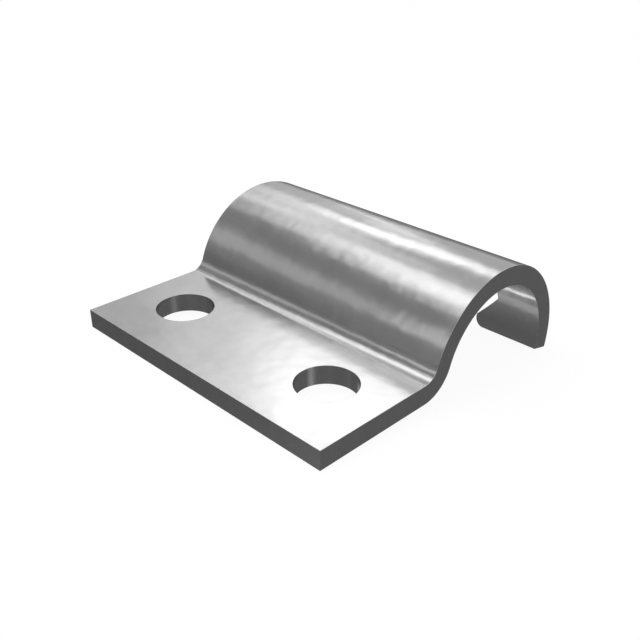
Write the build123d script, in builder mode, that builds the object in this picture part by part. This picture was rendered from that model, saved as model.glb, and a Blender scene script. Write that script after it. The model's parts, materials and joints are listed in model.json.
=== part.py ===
from build123d import *

import math
import os

# Half of a pipe clamp, folded from one strip of steel sheet: a flat bolting flange,
# a half round seat over the pipe and a far leg with a dovetail notch, which hooks on
# the tongue of the mating half.
# Millimetres, +Z up. The origin is on the pipe's axis, half way along the clamp, in
# the plane of the flange's underside. The pipe runs along Y and the flange is at -X.

# Sheet and pipe seat
sheet = 3.0
pipe_radius = 11.5
length = 50.0
fold_radius = 2.5
leg_wrap = 13.6  # degrees that the far leg goes on below the pipe's axis

# Bolt holes in the flange
bolt = 8.0
bolt_play = 1.0
hole_to_flange_edge = 10.9
hole_to_fold = 8.7
hole_to_end = 9.65

# Dovetail notch in the far leg. Heights are measured up the seat's own face.
tab_neck = 7.3
hook_overhang = 3.95
tab_tip_radius = 1.5
tab_side = 0.4
undercut_height = 4.15
throat_height = 4.3
throat_corner_radius = 1.5

# The fold is tangent to the flange and to the seat, with its centre above the flange.
fold_z = sheet + fold_radius
fold_to_axis = pipe_radius + sheet + fold_radius
fold_x = -math.sqrt(fold_to_axis**2 - fold_z**2)
fold_dip = math.degrees(math.asin(fold_z / fold_to_axis))

# Flange and its holes
hole_x = fold_x - hole_to_fold
flange_x = hole_x - hole_to_flange_edge
hole_pitch = length - 2 * hole_to_end
hole_radius = (bolt + bolt_play) / 2

# The notch is a mouth between the tabs' tips, an undercut that slopes back from them,
# and a throat between their necks.
mouth_width = length - 2 * (tab_neck + hook_overhang)
throat_width = length - 2 * tab_neck
undercut_start = tab_tip_radius + tab_side
throat_start = undercut_start + undercut_height
notch_top = throat_start + throat_height

# Its cutters start below the leg's end and are deeper than the sheet on both sides.
below_leg = -sheet
cutter_reach = 2 * (pipe_radius + sheet)
cutter_depth = 3 * sheet


def outwards(height):
    """X and Z of the direction through the sheet at a height up the far leg."""
    turn = height / pipe_radius - math.radians(leg_wrap)
    return math.cos(turn), math.sin(turn)


def slice_corners(low, high):
    """Corners of a slice from the pipe's axis through the leg, between two heights."""
    low_x, low_z = outwards(low)
    high_x, high_z = outwards(high)
    low_corner = (cutter_reach * low_x, cutter_reach * low_z)
    high_corner = (cutter_reach * high_x, cutter_reach * high_z)
    return (0, 0), low_corner, high_corner


def plane_across_leg(height):
    """Plane through the pipe's axis at a height, x through the sheet, y along the pipe."""
    out_x, out_z = outwards(height)
    return Plane(origin=(0, 0, 0), x_dir=(out_x, 0, out_z), z_dir=(-out_z, 0, out_x))


def is_notch_corner(edge):
    """True for an edge of the far leg that runs through the sheet, between its ends."""
    middle = edge.center()
    through_sheet = abs(edge.tangent_at(0.5).Y) < 1e-6
    return through_sheet and middle.X > 0 and abs(middle.Y) < length / 2 - 1e-6


with BuildPart() as half_clamp:
    # The strip's section: the line of its underside, thickened outwards
    with BuildSketch(Plane.XZ) as section:
        with BuildLine():
            Line((flange_x, 0), (fold_x, 0))
            CenterArc((fold_x, fold_z), fold_z, -90, 90 - fold_dip)
            CenterArc((0, 0), pipe_radius, 180 - fold_dip, fold_dip - 180 - leg_wrap)
            offset(amount=sheet, side=Side.LEFT)
        make_face()
    extrude(amount=length / 2, both=True)

    # Punched bolt holes
    with Locations((hole_x, 0, sheet)):
        with GridLocations(0, hole_pitch, 1, 2):
            Hole(radius=hole_radius, depth=sheet)

    # The notch's mouth and throat, cut square through the sheet round the bend
    with BuildSketch(Plane.XZ):
        Polygon(*slice_corners(below_leg, undercut_start), align=None)
    extrude(amount=mouth_width / 2, both=True, mode=Mode.SUBTRACT)
    with BuildSketch(Plane.XZ):
        Polygon(*slice_corners(throat_start, notch_top), align=None)
    extrude(amount=throat_width / 2, both=True, mode=Mode.SUBTRACT)

    # Its undercut widens from the mouth to the throat
    for height, width in ((undercut_start, mouth_width), (throat_start, throat_width)):
        with BuildSketch(plane_across_leg(height)):
            with Locations((pipe_radius + sheet / 2, 0)):
                Rectangle(cutter_depth, width)
    loft(ruled=True, mode=Mode.SUBTRACT)

    # Rounded corners: the tabs' tips are the notch's lowest, the throat's its highest
    straight_edges = half_clamp.edges().filter_by(GeomType.LINE)
    notch_corners = straight_edges.filter_by(is_notch_corner).group_by(Axis.Z)
    fillet(notch_corners[0], tab_tip_radius)
    straight_edges = half_clamp.edges().filter_by(GeomType.LINE)
    notch_corners = straight_edges.filter_by(is_notch_corner).group_by(Axis.Z)
    fillet(notch_corners[-1], throat_corner_radius)

half_clamp.part.label = "half_clamp"

os.makedirs("parts", exist_ok=True)
export_step(half_clamp.part, "parts/half_clamp.step")
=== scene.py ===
"""Looks of a half pipe clamp: one folded strip of rolled steel with cut edges, in a white studio."""

import json
import math

import bpy
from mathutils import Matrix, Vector


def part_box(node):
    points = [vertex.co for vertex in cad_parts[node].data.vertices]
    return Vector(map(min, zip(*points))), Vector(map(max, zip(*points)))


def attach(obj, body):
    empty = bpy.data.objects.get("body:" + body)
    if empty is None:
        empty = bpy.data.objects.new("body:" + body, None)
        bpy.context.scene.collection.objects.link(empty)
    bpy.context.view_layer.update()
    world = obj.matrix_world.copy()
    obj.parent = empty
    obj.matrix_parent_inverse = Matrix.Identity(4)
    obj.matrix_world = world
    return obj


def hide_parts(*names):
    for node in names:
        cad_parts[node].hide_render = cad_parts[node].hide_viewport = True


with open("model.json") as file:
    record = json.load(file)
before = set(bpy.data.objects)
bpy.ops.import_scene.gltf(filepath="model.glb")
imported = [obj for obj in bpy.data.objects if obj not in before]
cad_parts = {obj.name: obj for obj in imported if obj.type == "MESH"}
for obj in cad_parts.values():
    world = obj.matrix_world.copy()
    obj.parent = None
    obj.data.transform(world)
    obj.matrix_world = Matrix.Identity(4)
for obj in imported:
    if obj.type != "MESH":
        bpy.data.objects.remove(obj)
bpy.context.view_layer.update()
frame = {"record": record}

# The clamp's sizes, in millimetres and degrees
MM = 0.001
mounts = {mount["name"]: mount for mount in frame["record"]["mounts"]}
cad_low, cad_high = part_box("half_clamp")
flange_x = cad_low.x / MM
length = mounts["pipe_seat"]["dims"]["length_mm"]
pipe_radius = mounts["pipe_seat"]["dims"]["r_mm"]
sheet = cad_high.x / MM - pipe_radius
hole_radius = mounts["flange_bolts"]["dims"]["hole_r_mm"]
hole_side = mounts["flange_bolts"]["dims"]["spacing_y_mm"] / 2
hole_along = mounts["flange_bolts"]["pos_m"][0] / MM - flange_x
fold_radius = 2.5
leg_wrap = 13.6
edge_break = 0.04

# The notch in the far leg, with heights measured up the seat's own face from the leg's end
mouth_half = 13.75
throat_half = 17.7
tab_tip_radius = 1.5
throat_corner_radius = 1.5
undercut_start = 1.9
throat_start = 6.05
notch_top = 10.35

# The fold is tangent to the flange and to the seat
fold_z = sheet + fold_radius
fold_to_axis = pipe_radius + fold_z
fold_x = -math.sqrt(fold_to_axis**2 - fold_z**2)
fold_dip = math.asin(fold_z / fold_to_axis)

# Lengths along the flat blank's underside, from the flange's edge to the leg's end
fold_start = fold_x - flange_x
fold_end = fold_start + fold_z * (math.pi / 2 - fold_dip)
blank_end = fold_end + pipe_radius * (math.pi - fold_dip + math.radians(leg_wrap))

# How finely the blank is divided. Each hole has a square patch that reaches hole_patch each way,
# and its rings are shares of the way out from the hole's edge.
hole_patch = 6.5
patch_cells = 16
hole_rings = (0.0, 0.12, 0.3, 0.6)
margin_cells = 3
flange_rows = 4
fold_rows = 24
seat_rows = 52
middle_cells = 16
tab_cells = 9
arc_steps = 9
throat_rows = 5
undercut_rows = 8
wall_rows = 3
break_steps = 2
key_decimals = 4
smooth_turn = math.radians(25)

# The clamp's material slots
rolled_slot, cut_slot, worn_slot = 0, 1, 2


def spread(start, end, steps):
    """Evenly spaced values from start to end."""
    return [start + (end - start) * step / steps for step in range(steps + 1)]


def joined(*runs):
    """Runs of values that share their ends, as one run."""
    line = list(runs[0])
    for run in runs[1:]:
        line += list(run)[1:]
    return line


def hole_lines(centre):
    """Lines across a hole's square patch that part its circle into equal steps."""
    half = patch_cells // 2
    step = math.pi / 4 / half
    return [centre + hole_patch * math.tan(step * line) for line in range(-half, half + 1)]


def bend(along, side, height):
    """Folded place of a point of the flat blank, with its directions along and out of the sheet."""
    if along <= fold_start:
        return Vector((flange_x + along, side, height)), Vector((1, 0, 0)), Vector((0, 0, 1))
    if along <= fold_end:
        turn = (along - fold_start) / fold_z
        out = Vector((-math.sin(turn), 0, math.cos(turn)))
        centre = Vector((fold_x, side, fold_z))
        return centre - (fold_z - height) * out, Vector((math.cos(turn), 0, math.sin(turn))), out
    turn = math.pi - fold_dip - (along - fold_end) / pipe_radius
    out = Vector((math.cos(turn), 0, math.sin(turn)))
    onwards = Vector((math.sin(turn), 0, -math.cos(turn)))
    return Vector((0, side, 0)) + (pipe_radius + height) * out, onwards, out


class Blank:
    """The flat strip as a net of four-sided cells, seen from above."""

    def __init__(self):
        self.points = []
        self.numbers = {}
        self.cells = []

    def point(self, along, side):
        """Number of the point at a place, which is made on its first use."""
        key = (round(along, key_decimals), round(side, key_decimals))
        if key not in self.numbers:
            self.numbers[key] = len(self.points)
            self.points.append(Vector((along, side)))
        return self.numbers[key]

    def strip(self, row, next_row):
        """Cells between two rows of places, given with the side rising."""
        for cell in range(len(row) - 1):
            corners = (row[cell], next_row[cell], next_row[cell + 1], row[cell + 1])
            self.cells.append([self.point(*corner) for corner in corners])

    def rim(self):
        """Directed edges with a cell on their left only."""
        edges = set()
        for cell in self.cells:
            edges |= {(cell[corner - 1], cell[corner]) for corner in range(4)}
        return sorted(edge for edge in edges if (edge[1], edge[0]) not in edges)


def add_flange(blank, sides):
    """Rows of the flange, with a square patch left out round each hole."""
    patch_start, patch_end = hole_along - hole_patch, hole_along + hole_patch
    rows = joined(
        spread(0, patch_start, flange_rows),
        hole_lines(hole_along),
        spread(patch_end, fold_start, margin_cells),
    )
    tolerance = 1e-6
    for row, next_row in zip(rows, rows[1:]):
        beside_hole = patch_start - tolerance < row and next_row < patch_end + tolerance
        for side, next_side in zip(sides, sides[1:]):
            middle = abs(side + next_side) / 2
            if beside_hole and abs(middle - hole_side) < hole_patch:
                continue
            blank.strip([(row, side), (row, next_side)], [(next_row, side), (next_row, next_side)])


def add_hole(blank, centre_side):
    """Rings of cells from a hole's circle out to its square patch."""
    centre = Vector((hole_along, centre_side))
    lines = hole_lines(0)
    square = [Vector((hole_patch, line)) for line in lines[:-1]]
    square += [Vector((-line, hole_patch)) for line in lines[:-1]]
    square += [Vector((-hole_patch, -line)) for line in lines[:-1]]
    square += [Vector((line, -hole_patch)) for line in lines[:-1]]
    square.append(square[0])
    rings = []
    for share in (*hole_rings, 1.0):
        ring = [(hole_radius * corner.normalized()).lerp(corner, share) for corner in square]
        rings.append([centre + place for place in ring])
    for ring, outer_ring in zip(rings, rings[1:]):
        blank.strip(ring, outer_ring)


def add_bends(blank, flange_sides):
    """Rows round the fold and over the seat, down to the notch's top."""
    throat_side = throat_half - throat_corner_radius
    half_cells = (len(flange_sides) - 1) // 2 - tab_cells
    leg_sides = joined(
        spread(-length / 2, -throat_side, tab_cells),
        spread(-throat_side, throat_side, 2 * half_cells),
        spread(throat_side, length / 2, tab_cells),
    )
    notch_start = blank_end - notch_top
    rows = joined(spread(fold_start, fold_end, fold_rows), spread(fold_end, notch_start, seat_rows))
    lines = []
    for row in rows:
        share = max(0.0, (row - fold_end) / (notch_start - fold_end))
        sides = [a + (b - a) * share for a, b in zip(flange_sides, leg_sides)]
        lines.append([(row, side) for side in sides])
    for line, next_line in zip(lines, lines[1:]):
        blank.strip(line, next_line)


def notch_edge():
    """Heights and sides down the notch's edge, from its top to the leg's end."""
    edge = []
    for turn in spread(math.pi / 2, 0, arc_steps):
        height = notch_top - throat_corner_radius * (1 - math.sin(turn))
        edge.append((height, throat_half - throat_corner_radius * (1 - math.cos(turn))))
    for height in spread(notch_top - throat_corner_radius, throat_start, throat_rows)[1:]:
        edge.append((height, throat_half))
    slope = (throat_half - mouth_half) / (throat_start - undercut_start)
    for height in spread(throat_start, undercut_start, undercut_rows)[1:]:
        edge.append((height, mouth_half + slope * (height - undercut_start)))
    for turn in spread(0, math.pi / 2, arc_steps):
        height = tab_tip_radius * (1 - math.sin(turn))
        edge.append((height, mouth_half + tab_tip_radius * (1 - math.cos(turn))))
    return edge


def add_tabs(blank):
    """Rows of the two tabs beside the notch."""
    rows = []
    for height, side in notch_edge():
        rows.append([(blank_end - height, value) for value in spread(side, length / 2, tab_cells)])
    for row, next_row in zip(rows, rows[1:]):
        blank.strip(row, next_row)
        blank.strip(
            [(along, -side) for along, side in reversed(row)],
            [(along, -side) for along, side in reversed(next_row)],
        )


def make_blank():
    """The whole flat strip."""
    blank = Blank()
    sides = joined(
        spread(-length / 2, -hole_side - hole_patch, margin_cells),
        hole_lines(-hole_side),
        spread(hole_patch - hole_side, hole_side - hole_patch, middle_cells),
        hole_lines(hole_side),
        spread(hole_side + hole_patch, length / 2, margin_cells),
    )
    add_flange(blank, sides)
    for side in (-hole_side, hole_side):
        add_hole(blank, side)
    add_bends(blank, sides)
    add_tabs(blank)
    return blank


def wall_levels():
    """Inset, height and tilt of each level of a cut wall, with its two edges broken."""
    levels = []
    for tilt in spread(-math.pi / 2, 0, break_steps):
        levels.append((edge_break * (1 - math.cos(tilt)), edge_break * (1 + math.sin(tilt)), tilt))
    for height in spread(edge_break, sheet - edge_break, wall_rows)[1:-1]:
        levels.append((0.0, height, 0.0))
    for tilt in spread(0, math.pi / 2, break_steps):
        height = sheet - edge_break * (1 - math.sin(tilt))
        levels.append((edge_break * (1 - math.cos(tilt)), height, tilt))
    return levels


class Sheet:
    """The blank thickened, with broken edges, and then folded."""

    def __init__(self, blank):
        self.blank = blank
        self.levels = wall_levels()
        self.rim = blank.rim()
        self.outwards = {}
        for start, end in self.rim:
            run = (blank.points[end] - blank.points[start]).normalized()
            self.outwards[start, end] = Vector((run.y, -run.x))
        self.before = {end: (start, end) for start, end in self.rim}
        self.after = {start: (start, end) for start, end in self.rim}
        self.flat = []
        self.numbers = {}
        self.faces = []
        self.normals = []
        self.slots = []

    def vertex(self, point, level):
        """Number of the vertex over a point of the blank at a level."""
        if (point, level) not in self.numbers:
            inset, height = self.levels[level][:2]
            place = self.blank.points[point].copy()
            if point in self.before:
                first, second = self.outwards[self.before[point]], self.outwards[self.after[point]]
                place -= inset * (first + second) / (1 + first.dot(second))
            self.numbers[point, level] = len(self.flat)
            self.flat.append((place.x, place.y, height))
        return self.numbers[point, level]

    def outward(self, point, edge):
        """Direction out of a wall at a point, shared with the next wall if they nearly line up."""
        own = self.outwards[edge]
        other = self.outwards[self.before[point] if edge == self.after[point] else self.after[point]]
        return (own + other).normalized() if own.angle(other) < smooth_turn else own

    def add_face(self, corners, normals, slot):
        """A face with its flat corner normals turned as the sheet bends."""
        self.faces.append(corners)
        self.slots.append(slot)
        for corner, normal in zip(corners, normals):
            along, out = bend(*self.flat[corner])[1:]
            self.normals.append(normal[0] * along + Vector((0, normal[1], 0)) + normal[2] * out)

    def add_sides(self):
        """The sheet's two rolled faces."""
        top = len(self.levels) - 1
        for cell in self.blank.cells:
            upper = [self.vertex(point, top) for point in cell]
            lower = [self.vertex(point, 0) for point in reversed(cell)]
            self.add_face(upper, [(0, 0, 1)] * 4, rolled_slot)
            self.add_face(lower, [(0, 0, -1)] * 4, rolled_slot)

    def add_walls(self):
        """The cut walls round the outline and the holes."""
        tilts = [tilt for inset, height, tilt in self.levels]
        for edge in self.rim:
            start, end = edge
            for level in range(len(tilts) - 1):
                corners = ((start, level), (end, level), (end, level + 1), (start, level + 1))
                normals = []
                for point, corner_level in corners:
                    tilt = tilts[corner_level]
                    level_part = math.cos(tilt) * self.outward(point, edge)
                    normals.append((level_part.x, level_part.y, math.sin(tilt)))
                slot = worn_slot if tilts[level] != tilts[level + 1] else cut_slot
                self.add_face([self.vertex(*corner) for corner in corners], normals, slot)

    def mesh(self, name):
        """The folded sheet as a mesh in metres, which keeps its flat places for the grain."""
        made = bpy.data.meshes.new(name)
        folded = [bend(*place)[0] * MM for place in self.flat]
        made.from_pydata(folded, [], self.faces)
        made.attributes.new("blank", "FLOAT_VECTOR", "POINT")
        flat_metres = [value * MM for place in self.flat for value in place]
        made.attributes["blank"].data.foreach_set("vector", flat_metres)
        made.polygons.foreach_set("material_index", self.slots)
        made.polygons.foreach_set("use_smooth", [True] * len(self.faces))
        made.normals_split_custom_set([normal.normalized() for normal in self.normals])
        made.update()
        return made


# Materials. A small helper keeps each one down to what it looks like.


class Nodes:
    """The node tree of a new material or of the world, with short ways to add and join nodes."""

    def __init__(self, owner, output="ShaderNodeOutputMaterial"):
        self.owner = owner
        self.owner.use_nodes = True
        self.tree = self.owner.node_tree
        self.tree.nodes.clear()
        self.output = self.tree.nodes.new(output)

    def add(self, kind, inputs=None, **settings):
        """A node with its settings and inputs. An input is a value or another node's output."""
        node = self.tree.nodes.new(kind)
        for key, value in settings.items():
            setattr(node, key, value)
        for key, value in (inputs or {}).items():
            if isinstance(value, bpy.types.NodeSocket):
                self.tree.links.new(value, node.inputs[key])
            else:
                node.inputs[key].default_value = value
        return node

    def attribute(self, name):
        """The mesh's own vector of that name."""
        settings = {"attribute_name": name, "attribute_type": "GEOMETRY"}
        return self.add("ShaderNodeAttribute", **settings).outputs["Vector"]

    def flat_place(self, stretch=(1, 1, 1)):
        """Places on the flat blank, in metres times a stretch for each direction."""
        inputs = {0: self.attribute("blank"), 1: stretch}
        return self.add("ShaderNodeVectorMath", inputs, operation="MULTIPLY").outputs["Vector"]

    def noise(self, place, scale, detail=2.0, roughness=0.5):
        """Noise from 0 to 1 with about scale features for each metre."""
        inputs = {"Vector": place, "Scale": scale, "Detail": detail, "Roughness": roughness}
        return self.add("ShaderNodeTexNoise", inputs).outputs["Fac"]

    def between(self, value, low, high, low_in=0.3, high_in=0.7):
        """A value, a noise as a rule, turned from its own range into one from low to high."""
        inputs = {
            "Value": value,
            "From Min": low_in,
            "From Max": high_in,
            "To Min": low,
            "To Max": high,
        }
        return self.add("ShaderNodeMapRange", inputs).outputs["Result"]

    def maths(self, operation, first, second):
        """The result of one operation on two numbers."""
        return self.add("ShaderNodeMath", {0: first, 1: second}, operation=operation).outputs["Value"]

    def grey(self, value):
        """A neutral colour of a given level."""
        inputs = {"Red": value, "Green": value, "Blue": value}
        return self.add("ShaderNodeCombineColor", inputs).outputs["Color"]

    def bump(self, height, distance, normal=None):
        """A surface normal from a height, in metres."""
        inputs = {"Height": height, "Distance": distance}
        if normal is not None:
            inputs["Normal"] = normal
        return self.add("ShaderNodeBump", inputs).outputs["Normal"]

    def plus(self, first, second):
        """The light of two shaders together."""
        return self.add("ShaderNodeAddShader", {0: first.outputs[0], 1: second.outputs[0]})

    def mix(self, share, first, second):
        """The first shader where the share is 0, and the second where it is 1."""
        inputs = {0: share, 1: first.outputs[0], 2: second.outputs[0]}
        return self.add("ShaderNodeMixShader", inputs)

    def surface(self, shader):
        """Joins the finished shader to the output, and gives back what it is on."""
        self.tree.links.new(shader.outputs[0], self.output.inputs["Surface"])
        return self.owner

    def steel(self, level, roughness, normal):
        """Bare steel with that grey level, roughness and normal."""
        inputs = {
            "Base Color": self.grey(level),
            "Metallic": 1.0,
            "Roughness": roughness,
            "Normal": normal,
        }
        return self.surface(self.add("ShaderNodeBsdfPrincipled", inputs))


def rolled_steel():
    """Cold rolled sheet: satin, with faint clouds, fine lengthwise grain and a slightly uneven face.

    The bends are more uneven than the flange, which stayed flat when the sheet was folded.
    """
    wave_height = 0.00007
    ripple_height = 0.000045
    flange_share = 0.45
    nodes = Nodes(bpy.data.materials.new("rolled_steel"))
    plain = nodes.flat_place()
    stretched = nodes.flat_place((1, 0.9, 1))
    lengthwise = nodes.flat_place((1, 0.06, 1))
    clouds = nodes.noise(plain, scale=150, detail=3)
    patches = nodes.noise(plain, scale=420, detail=2)
    grain = nodes.noise(lengthwise, scale=5000, detail=2)
    along = nodes.add("ShaderNodeSeparateXYZ", {"Vector": plain}).outputs["X"]
    bent = nodes.between(along, flange_share, 1.0, fold_start * MM, fold_end * MM)
    waves = nodes.maths("MULTIPLY", bent, nodes.noise(stretched, scale=200, detail=2))
    ripples = nodes.maths("MULTIPLY", bent, nodes.noise(stretched, scale=420, detail=1))
    level = nodes.maths("ADD", nodes.between(clouds, 0.575, 0.625), nodes.between(grain, -0.004, 0.004))
    rough = nodes.maths("ADD", nodes.between(clouds, 0.16, 0.19), nodes.between(patches, -0.006, 0.006))
    rough = nodes.maths("ADD", rough, nodes.between(grain, -0.003, 0.003))
    wavy = nodes.bump(waves, wave_height)
    return nodes.steel(level, rough, nodes.bump(ripples, ripple_height, wavy))


def cut_steel():
    """Sheared wall: a little darker and rougher, with fine lines through the sheet."""
    line_height = 0.0000005
    nodes = Nodes(bpy.data.materials.new("cut_steel"))
    lines = nodes.noise(nodes.flat_place((1, 1, 0.05)), scale=3500, detail=3, roughness=0.6)
    bands = nodes.noise(nodes.flat_place((1, 1, 0.3)), scale=400, detail=2)
    level = nodes.maths("ADD", nodes.between(lines, 0.575, 0.595), nodes.between(bands, -0.01, 0.01))
    rough = nodes.maths("ADD", nodes.between(bands, 0.23, 0.27), nodes.between(lines, -0.01, 0.01))
    return nodes.steel(level, rough, nodes.bump(lines, line_height))


def worn_edge():
    """The broken edge, rubbed a little brighter."""
    rub_height = 0.000002
    nodes = Nodes(bpy.data.materials.new("worn_edge"))
    rub = nodes.noise(nodes.flat_place(), scale=900, detail=3)
    level = nodes.between(rub, 0.6, 0.68)
    return nodes.steel(level, nodes.between(rub, 0.32, 0.24), nodes.bump(rub, rub_height))


def make_clamp():
    """The folded strip, which stands for the CAD solid of the same form."""
    solid = Sheet(make_blank())
    solid.add_sides()
    solid.add_walls()
    clamp = bpy.data.objects.new("folded_half_clamp", solid.mesh("folded_half_clamp"))
    bpy.context.scene.collection.objects.link(clamp)
    for material in (rolled_steel(), cut_steel(), worn_edge()):
        clamp.data.materials.append(material)
    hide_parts("half_clamp")
    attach(clamp, "root")


# The studio. Directions are an azimuth from +X towards +Y and an elevation, in degrees. Steel
# mirrors what stands round it, so patches of sky light it: a dark ground, grey cards that cover
# what lies behind them, and soft lights that add to it. Its reflections alone see them.
# Edges, margin and cell are in degrees too, the clouds' swing is a share of a patch's level,
# and distances are in metres.
edge_blur = 7
edge_wander = 14
cloud_swing = 0.55
patch_margin = 10
patch_cell = 5
ground_distance = 1.0
light_distance = 0.55


def towards(azimuth, elevation):
    """Unit direction from the clamp."""
    turn, rise = math.radians(azimuth), math.radians(elevation)
    return Vector((math.cos(turn) * math.cos(rise), math.sin(turn) * math.cos(rise), math.sin(rise)))


def make_stage(name, corners, faces, material):
    """A studio mesh, which isn't part of the object."""
    made = bpy.data.meshes.new(name)
    made.from_pydata(corners, [], faces)
    made.materials.append(material)
    stage = bpy.data.objects.new(name, made)
    bpy.context.scene.collection.objects.link(stage)
    return stage


def sky_material(name, half_width, half_height, level, shines):
    """Light from a patch of sky with blurred, wandering edges and faint clouds.

    Its places are the mesh's "sky" attribute, in degrees from the patch's centre. A patch that
    shines adds its light to what lies behind it, and another covers it, as a grey card does.
    """
    nodes = Nodes(bpy.data.materials.new(name))
    away = nodes.add("ShaderNodeSeparateXYZ", {"Vector": nodes.attribute("sky")})
    spot = nodes.add("ShaderNodeNewGeometry").outputs["Position"]
    direction = nodes.add("ShaderNodeVectorMath", {0: spot}, operation="NORMALIZE").outputs["Vector"]
    edge_noise = nodes.noise(direction, scale=14, detail=5, roughness=0.65)
    cloud_noise = nodes.noise(direction, scale=24, detail=6, roughness=0.68)
    drift = nodes.between(edge_noise, -edge_wander / 2, edge_wander / 2, 0, 1)
    shares = []
    for axis, half in (("X", half_width), ("Y", half_height)):
        inside = nodes.maths("SUBTRACT", half, nodes.maths("ABSOLUTE", away.outputs[axis], 0))
        inputs = {
            "Value": nodes.maths("ADD", inside, drift),
            "From Min": -edge_blur / 2,
            "From Max": edge_blur / 2,
        }
        soft = nodes.add("ShaderNodeMapRange", inputs, interpolation_type="SMOOTHSTEP")
        shares.append(soft.outputs["Result"])
    share = nodes.maths("MULTIPLY", *shares)
    darkest, brightest = level * (1 - cloud_swing), level * (1 + cloud_swing)
    clouds = nodes.between(cloud_noise, darkest, brightest, 0, 1)
    clear = nodes.add("ShaderNodeBsdfTransparent")
    if shines:
        glow = nodes.add("ShaderNodeEmission", {"Strength": nodes.maths("MULTIPLY", share, clouds)})
        patch = nodes.plus(clear, glow)
    else:
        glow = nodes.add("ShaderNodeEmission", {"Strength": clouds})
        patch = nodes.mix(share, clear, glow)
    material = nodes.surface(patch)
    material.cycles.emission_sampling = "NONE"
    return material


def make_patch(name, azimuth, elevation, width, height, level, distance, shines=False):
    """A curved sheet that holds a patch of sky, which only the steel's reflections see."""
    sideways = min(180, width / 2 + patch_margin)
    lowest = max(-90, elevation - height / 2 - patch_margin)
    highest = min(90, elevation + height / 2 + patch_margin)
    columns, rows = round(2 * sideways / patch_cell), round((highest - lowest) / patch_cell)
    corners, places = [], []
    for rise in spread(lowest, highest, rows):
        for turn in spread(-sideways, sideways, columns):
            corners.append(distance * towards(azimuth + turn, rise))
            places += [turn, rise - elevation, 0]
    faces = []
    for row in range(rows):
        for column in range(columns):
            first = row * (columns + 1) + column
            faces.append((first, first + 1, first + columns + 2, first + columns + 1))
    patch = make_stage(name, corners, faces, sky_material(name, width / 2, height / 2, level, shines))
    patch.data.attributes.new("sky", "FLOAT_VECTOR", "POINT")
    patch.data.attributes["sky"].data.foreach_set("vector", places)
    patch.visible_camera = False
    patch.visible_diffuse = False
    patch.visible_shadow = False
    patch.visible_transmission = False


def make_card(name, azimuth, elevation, width, height, level, distance):
    """Grey cards, one behind the clamp and its mirror image in front of it."""
    for place, sign in (("back", 1), ("front", -1)):
        make_patch(f"{name}_card_{place}", sign * azimuth, elevation, width, height, level, distance)


def make_light(name, azimuth, elevation, width, height, level):
    """Soft lights, one behind the clamp and its mirror image in front of it."""
    for place, sign in (("back", 1), ("front", -1)):
        spot = (sign * azimuth, elevation, width, height)
        make_patch(f"{name}_light_{place}", *spot, level, light_distance, shines=True)


def make_surroundings():
    """The dark ground, the grey cards and the soft lights that the steel mirrors.

    Each line gives an azimuth, an elevation, a width and a height, in degrees, and a level. A
    patch or a card has its distance after them. The ground is wider than a full turn, so that
    it has no ends.
    """
    make_patch("dark_ground", 0, -48, 400, 106, 0.14, ground_distance)
    make_card("left", 138, 26, 75, 52, 0.27, 0.97)
    make_card("low_shade", 128, 2, 30, 14, 0.20, 0.96)
    make_card("upper", 97, 44, 44, 23, 0.28, 0.95)
    make_card("back", 39, 18, 58, 33, 0.56, 0.93)
    make_card("overhead", 65, 60, 45, 32, 0.50, 0.91)
    make_card("under", 113, -54, 60, 21, 0.50, 0.91)
    make_card("under_shade", 130, -40, 33, 26, 0.22, 0.89)
    make_card("edge_shade", 117, -29, 48, 18, 0.12, 0.87)
    make_card("inner", 62, -61, 33, 16, 2.10, 0.85)
    make_card("hole", -81, -37, 19, 14, 0.50, 0.85)
    make_light("key", 43, 36, 17, 12, 1.10)
    make_light("near", 53, 30, 16, 14, 0.33)
    make_light("top", 96, 60, 41, 19, 0.70)
    make_light("wide", 78, 49, 36, 15, 0.40)
    make_light("left", 160, 30, 32, 17, 0.50)
    make_light("low", 38, 18, 5, 17, 0.75)
    make_light("fill", 128, 26, 25, 13, 0.27)
    make_light("horizon", 38, -2, 44, 16, 0.06)
    make_light("side", 100, 20, 28, 18, 0.55)
    make_patch("front_light", -45, 17, 34, 14, 0.80, light_distance, shines=True)
    make_patch("far_light", -135, 18, 34, 14, 0.80, light_distance, shines=True)


def seen_white(nodes):
    """1 for rays from the camera and from mirrors and glass, and 0 for the rest."""
    path = nodes.add("ShaderNodeLightPath")
    seen = nodes.maths("MAXIMUM", path.outputs["Is Camera Ray"], path.outputs["Is Glossy Ray"])
    return nodes.maths("MAXIMUM", seen, path.outputs["Is Transmission Ray"])


def floor_material():
    """White where it is seen, less a faint shadow, and pale for other light. Clear from below."""
    pale_level, shaded_level, glow_level = 0.8, 0.08, 0.94
    nodes = Nodes(bpy.data.materials.new("pale_floor"))
    pale = nodes.add("ShaderNodeBsdfDiffuse", {"Color": (pale_level, pale_level, pale_level, 1)})
    shaded = nodes.add("ShaderNodeBsdfDiffuse", {"Color": (shaded_level, shaded_level, shaded_level, 1)})
    glow = nodes.add("ShaderNodeEmission", {"Color": (1, 1, 1, 1), "Strength": glow_level})
    upper = nodes.mix(seen_white(nodes), pale, nodes.plus(shaded, glow))
    below = nodes.add("ShaderNodeNewGeometry").outputs["Backfacing"]
    clear = nodes.add("ShaderNodeBsdfTransparent")
    return nodes.surface(nodes.mix(below, upper, clear))


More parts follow.
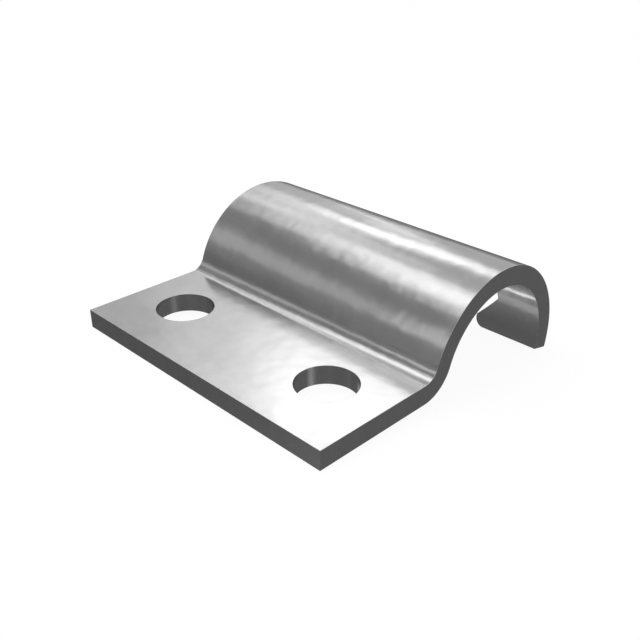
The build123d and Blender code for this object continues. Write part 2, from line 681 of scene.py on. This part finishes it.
def make_floor():
    """A floor that touches the flange's outer edge and the tabs, as the clamp would lie on it."""
    half = 0.5
    floor_gap = 0.00002
    tab_turn = -math.radians(leg_wrap)
    tab_foot = Vector((math.cos(tab_turn), math.sin(tab_turn))) * (pipe_radius + sheet) * MM
    slope = tab_foot.y / (tab_foot.x - cad_low.x)
    corners = []
    for x, y in ((-half, -half), (half, -half), (half, half), (-half, half)):
        corners.append((x, y, slope * (x - cad_low.x) - floor_gap))
    make_stage("floor", corners, [(0, 1, 2, 3)], floor_material()).visible_glossy = False


def make_world():
    """White for what sees it, and a plain soft light on the floor."""
    floor_light = 0.5
    world = bpy.data.worlds.new("white_studio")
    world.cycles.sampling_method = "NONE"
    bpy.context.scene.world = world
    nodes = Nodes(world, "ShaderNodeOutputWorld")
    strength = nodes.between(seen_white(nodes), floor_light, 1.0, 0, 1)
    nodes.surface(nodes.add("ShaderNodeBackground", {"Color": (1, 1, 1, 1), "Strength": strength}))


def make_lamp():
    """A large soft lamp overhead, which shades the floor under the clamp."""
    lamp_width = 1.0
    lamp_watts = 6.0
    place = Vector((-0.3, 0.3, 1.2))
    data = bpy.data.lights.new("soft_lamp", "AREA")
    data.shape = "DISK"
    data.size = lamp_width
    data.energy = lamp_watts
    lamp = bpy.data.objects.new("soft_lamp", data)
    lamp.location = place
    lamp.rotation_euler = (-place).to_track_quat("-Z", "Y").to_euler()
    lamp.visible_glossy = False
    bpy.context.scene.collection.objects.link(lamp)


def make_camera():
    """The photo's viewpoint, from above the near corner of the flange."""
    sensor_width, lens_length = 36, 47.12
    nearest, farthest = 0.005, 10
    heading, pitch = 45, 28.448
    place = (-0.0912475, -0.080554, 0.062929)
    data = bpy.data.cameras.new("camera")
    data.sensor_width = sensor_width
    data.lens = lens_length
    data.clip_start = nearest
    data.clip_end = farthest
    camera = bpy.data.objects.new("camera", data)
    camera.location = place
    camera.rotation_euler = (math.radians(90 - pitch), 0, math.radians(heading - 90))
    bpy.context.scene.collection.objects.link(camera)
    bpy.context.scene.camera = camera


make_clamp()
make_surroundings()
make_floor()
make_world()
make_lamp()
make_camera()
bpy.context.scene.view_settings.view_transform = "Standard"
